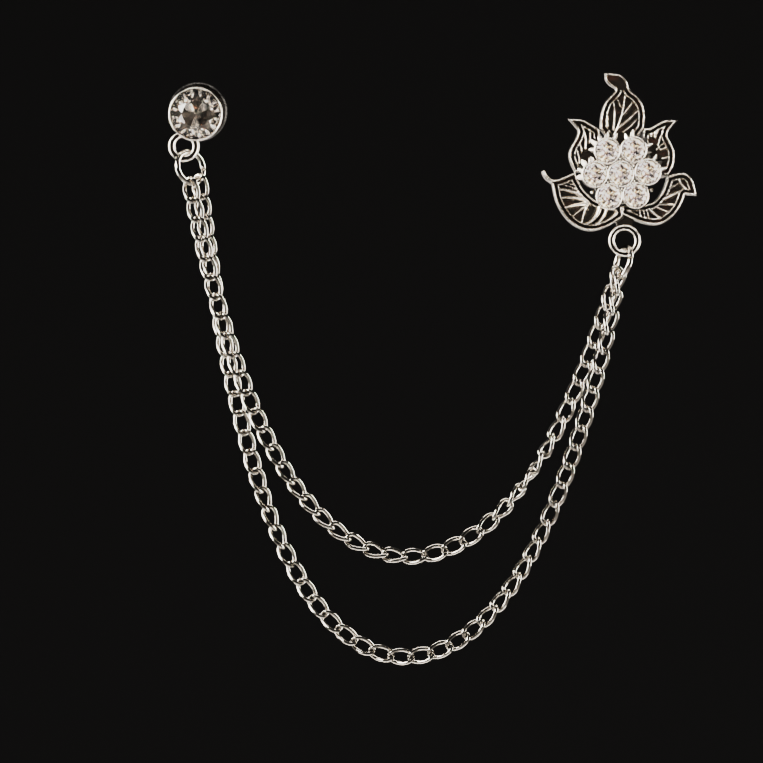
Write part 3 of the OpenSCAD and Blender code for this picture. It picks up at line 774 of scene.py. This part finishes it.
def casting(name, verts, faces, node, material):
    """The shells as one piece in place of the node, smooth but for its sharp edges."""
    obj = mesh_object(name, verts, faces)
    recalculate_normals(obj.data)
    obj.data.set_sharp_from_angle(angle=math.radians(38))
    dress(obj, material)
    stands_for(obj, node)
    return obj


def jump_ring(node, material):
    """The ring's wire a little thicker, which takes up its play."""
    obj = copy_of(node, node + "_wire")
    swell(obj.data, RING_SWELL)
    obj.data.polygons.foreach_set("use_smooth", [True] * len(obj.data.polygons))
    dress(obj, material)
    stands_for(obj, node)


# Studio


def studio_wall():
    """Floor and wall in one sheet, well away from the object."""
    lo, hi = cad_box
    floor = lo.z - FLOOR_DROP
    bend_steps = 14
    profile = [(0.001, 0), (0.3, 0), (STUDIO_R - STUDIO_BEND, 0)]
    for k in range(1, bend_steps + 1):
        a = math.pi / 2 * k / bend_steps
        profile.append((STUDIO_R - STUDIO_BEND * (1 - math.sin(a)), STUDIO_BEND * (1 - math.cos(a))))
    profile.append((STUDIO_R, STUDIO_H))
    verts, faces = lathe(profile, 96)
    wall = mesh_object("studio", verts, faces)
    wall.location = ((lo.x + hi.x) / 2, 0, floor)
    n = Nodes("studio")
    n.shader.inputs["Roughness"].default_value = 0.9
    up = n.range(n.part_of(n.place, "Z"), 0, PALE_UP_TO, 0, 1)
    n.link(n.ramp(up, (0.0, FLOOR_COLOUR), (1.0, WALL_COLOUR)), n.shader.inputs["Base Color"])
    dress(wall, n.material)


def softbox(name, place, size, watts, spread=180):
    """Light panel that the camera doesn't see, turned to the object's middle; size in metres."""
    data = bpy.data.lights.new(name, "AREA")
    data.shape = "RECTANGLE"
    data.size, data.size_y = size
    data.energy = watts
    data.color = LIGHT_COLOUR
    data.spread = math.radians(spread)
    light = bpy.data.objects.new(name, data)
    light.location = place
    way = Vector((VIEW_X, 0, VIEW_Z)) - Vector(place)
    light.rotation_euler = way.to_track_quat("-Z", "Y").to_euler()
    light.visible_camera = False
    bpy.context.collection.objects.link(light)
    return light


def only_on(light, pieces):
    """Keeps the light off all but these pieces."""
    group = bpy.data.collections.new(light.name + "_on")
    for piece in pieces:
        group.objects.link(piece)
    light.light_linking.receiver_collection = group


def lights(sparkling, backs):
    """Soft panels all round; some light only the sparkling pieces or only the pieces seen from behind."""
    softbox("key", (-0.54, -0.39, 0.16), (0.2, 0.28), 5.5)
    softbox("right_strip", (0.6, 0.12, 0.05), (0.13, 0.7), 3.6, spread=110)
    softbox("left_strip", (-0.7, 0.12, -0.05), (0.13, 0.7), 3.6, spread=110)
    softbox("top_strip", (-0.04, 0.14, 0.6), (0.6, 0.12), 3)
    softbox("low_strip", (-0.04, 0.06, -0.27), (0.4, 0.05), 0.6)
    only_on(softbox("back_panel", (VIEW_X - 0.12, 0.9, VIEW_Z - 0.02), (0.5, 0.35), 0.9), backs)
    only_on(softbox("glare", (-0.5, -0.42, 0.08), (0.35, 0.5), 8), sparkling)
    for n in range(GLINTS):
        angle, reach = 2.4 * n, 0.24 + 0.02 * n
        place = (VIEW_X + reach * math.cos(angle), -0.8, VIEW_Z + reach * math.sin(angle))
        only_on(softbox(f"glint_{n}", place, (0.12, 0.12), 0.8), sparkling)
    world = bpy.data.worlds.new("world")
    bpy.context.scene.world = world
    world.use_nodes = True
    background = world.node_tree.nodes["Background"]
    background.inputs["Color"].default_value = (0.2, 0.2, 0.2, 1)
    background.inputs["Strength"].default_value = 0.4


camera()
studio_wall()

silver = plated_silver("silver_plate", 1.0, 0.05, 1.1 * MM, 0.3, 0.75)
bezel_silver = plated_silver("bezel_silver", 1.0, 0.05, 1.1 * MM, 0.3, 0.75, (1.05 * MM, 1.25 * MM))
cast_silver = plated_silver("cast_silver", 1.0, 0.2, 1.1 * MM, 0.2, 0.6, (0.82 * MM, 0.98 * MM))
chain_silver = plated_silver("chain_metal", 0.85, 0.07, 0.5 * MM, 0.3, 0.8)
nickel = clutch_metal()
glass = clear_stone()
# The kites' foils are darker, tinted copies of the slivers' foils: painted dark reflections
bright_foil = foil("bright_foil", 0.06, (0.35, (0.9, 0.88, 0.95)), (0.65, (0.96, 0.93, 0.84)))
warm_foil = foil(
    "warm_foil", 0.1, (0.35, (0.6, 0.52, 0.62)), (0.5, (0.9, 0.86, 0.82)), (0.68, (0.86, 0.72, 0.45))
)
clear_foil = foil(
    "clear_foil", 0.14, (0.4, (0.95, 0.94, 0.92)), (0.62, (0.9, 0.88, 0.84)), (0.7, (0.95, 0.7, 0.52))
)
painted_dark_foil = foil(
    "painted_dark_foil", 0.25, (0.4, (0.06, 0.053, 0.047)), (0.58, (0.1, 0.082, 0.07)), (0.66, (0.45, 0.25, 0.17))
)

stones = [
    stone(name, (glass, warm_foil, bright_foil), LEAF_STONE_SWELL, LEAF_KITES, LEAF_PAVILION)
    for name in LEAF_STONES
]
stud_stone_coats = (glass, painted_dark_foil, clear_foil)
stones.append(stone("stud_stone", stud_stone_coats, STUD_STONE_SWELL, STUD_KITES, STUD_PAVILION, BRIGHT_KITES))
for name in CHAINS:
    chain(name, chain_silver)
for name in JUMP_RINGS:
    jump_ring(name, silver)
castings = [leaf(cast_silver), stud(bezel_silver)]
for name in CLUTCHES:
    dress(NODES[name], nickel)
lights(stones + castings, castings + [NODES[name] for name in CLUTCHES])
